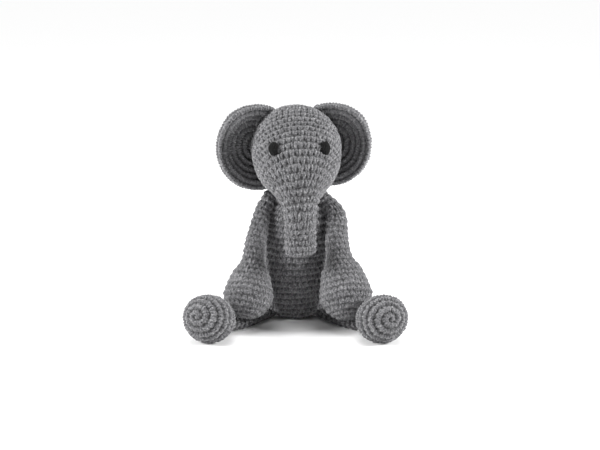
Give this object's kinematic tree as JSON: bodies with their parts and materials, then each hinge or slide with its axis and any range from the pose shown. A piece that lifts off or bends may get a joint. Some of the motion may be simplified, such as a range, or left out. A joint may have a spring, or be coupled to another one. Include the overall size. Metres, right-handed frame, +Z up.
{
  "type": "stuffed crochet elephant",
  "caption": "Seated crochet elephant soft toy with a ball head, hanging trunk, cupped round ears, ball hands and feet, and soft sewn joints.",
  "frame": {"origin": "middle of the seat, the small flat under the torso, on the surface that the toy sits on", "axes": "+Z up, the elephant faces -Y, its left side is on +X"},
  "size_m": [0.1484, 0.1181, 0.1513],
  "materials": {
    "grey_crochet": "matte, heathered wool crochet",
    "grey_yarn": "matte sewing yarn of the same wool",
    "black_yarn": "matte black yarn",
    "stuffing": "soft white polyester fibre fill"
  },
  "bodies": {
    "torso": {"torso_cover": "grey_crochet", "torso_stuffing": "stuffing"},
    "neck": {"neck_wad": "stuffing"},
    "head": {"head_cover": "grey_crochet", "head_stuffing": "stuffing", "left_eye": "black_yarn", "right_eye": "black_yarn", "neck_seam": "grey_yarn"},
    "trunk": {"trunk_cover": "grey_crochet", "trunk_stuffing": "stuffing"},
    "left_ear": {"left_ear": "grey_crochet", "left_ear_seam": "grey_yarn"},
    "right_ear": {"right_ear": "grey_crochet", "right_ear_seam": "grey_yarn"},
    "tail": {"tail_tube": "grey_crochet", "tail_brush": "grey_yarn"},
    "left_shoulder": {"left_shoulder_knot": "grey_yarn"},
    "left_arm": {"left_arm_cover": "grey_crochet", "left_hand_stuffing": "stuffing"},
    "left_hip": {"left_hip_knot": "grey_yarn"},
    "left_leg": {"left_leg_cover": "grey_crochet", "left_foot_stuffing": "stuffing"},
    "right_shoulder": {"right_shoulder_knot": "grey_yarn"},
    "right_arm": {"right_arm_cover": "grey_crochet", "right_hand_stuffing": "stuffing"},
    "right_hip": {"right_hip_knot": "grey_yarn"},
    "right_leg": {"right_leg_cover": "grey_crochet", "right_foot_stuffing": "stuffing"}
  },
  "joints": [
    {"name": "head_turn", "type": "hinge", "parent": "torso", "child": "neck", "pos_m": [0, 0, 0.0798], "axis": [0, 0, 1], "range_deg": [-16, 16]},
    {"name": "head_nod", "type": "hinge", "parent": "neck", "child": "head", "pos_m": [0, 0, 0.0798], "axis": [-1, 0, 0], "range_deg": [-5, 20]},
    {"name": "trunk_lift", "type": "hinge", "parent": "head", "child": "trunk", "pos_m": [0.00308, -0.03909, 0.0912], "axis": [-1, 0, 0], "range_deg": [0, 70]},
    {"name": "left_ear_flap", "type": "hinge", "parent": "head", "child": "left_ear", "pos_m": [0.0315, 0.004, 0.1213], "axis": [0, 0, -1], "range_deg": [-10, 20]},
    {"name": "left_arm_swing", "type": "hinge", "parent": "torso", "child": "left_shoulder", "pos_m": [0.0223, -0.002, 0.084], "axis": [-1, 0, 0], "range_deg": [0, 60]},
    {"name": "left_arm_spread", "type": "hinge", "parent": "left_shoulder", "child": "left_arm", "pos_m": [0.0223, -0.002, 0.084], "axis": [0, -1, 0], "range_deg": [0, 50]},
    {"name": "left_leg_splay", "type": "hinge", "parent": "torso", "child": "left_hip", "pos_m": [0.0216, -0.0084, 0.005], "axis": [0, 0, 1], "range_deg": [0, 25]},
    {"name": "left_leg_drop", "type": "hinge", "parent": "left_hip", "child": "left_leg", "pos_m": [0.0216, -0.0084, 0.005], "axis": [0.8324, 0.5542, 0], "range_deg": [0, 85]},
    {"name": "right_ear_flap", "type": "hinge", "parent": "head", "child": "right_ear", "pos_m": [-0.0305, 0, 0.1213], "axis": [0, 0, 1], "range_deg": [-10, 20]},
    {"name": "right_arm_swing", "type": "hinge", "parent": "torso", "child": "right_shoulder", "pos_m": [-0.0223, -0.002, 0.084], "axis": [-1, 0, 0], "range_deg": [0, 60]},
    {"name": "right_arm_spread", "type": "hinge", "parent": "right_shoulder", "child": "right_arm", "pos_m": [-0.0223, -0.002, 0.084], "axis": [0, 1, 0], "range_deg": [0, 50]},
    {"name": "right_leg_splay", "type": "hinge", "parent": "torso", "child": "right_hip", "pos_m": [-0.0216, -0.0084, 0.005], "axis": [0, 0, -1], "range_deg": [0, 25]},
    {"name": "right_leg_drop", "type": "hinge", "parent": "right_hip", "child": "right_leg", "pos_m": [-0.0216, -0.0084, 0.005], "axis": [0.8324, -0.5542, 0], "range_deg": [0, 85]},
    {"name": "tail_swing", "type": "hinge", "parent": "torso", "child": "tail", "pos_m": [0, 0.0272, 0.037], "axis": [1, 0, 0], "range_deg": [0, 70]}
  ]
}
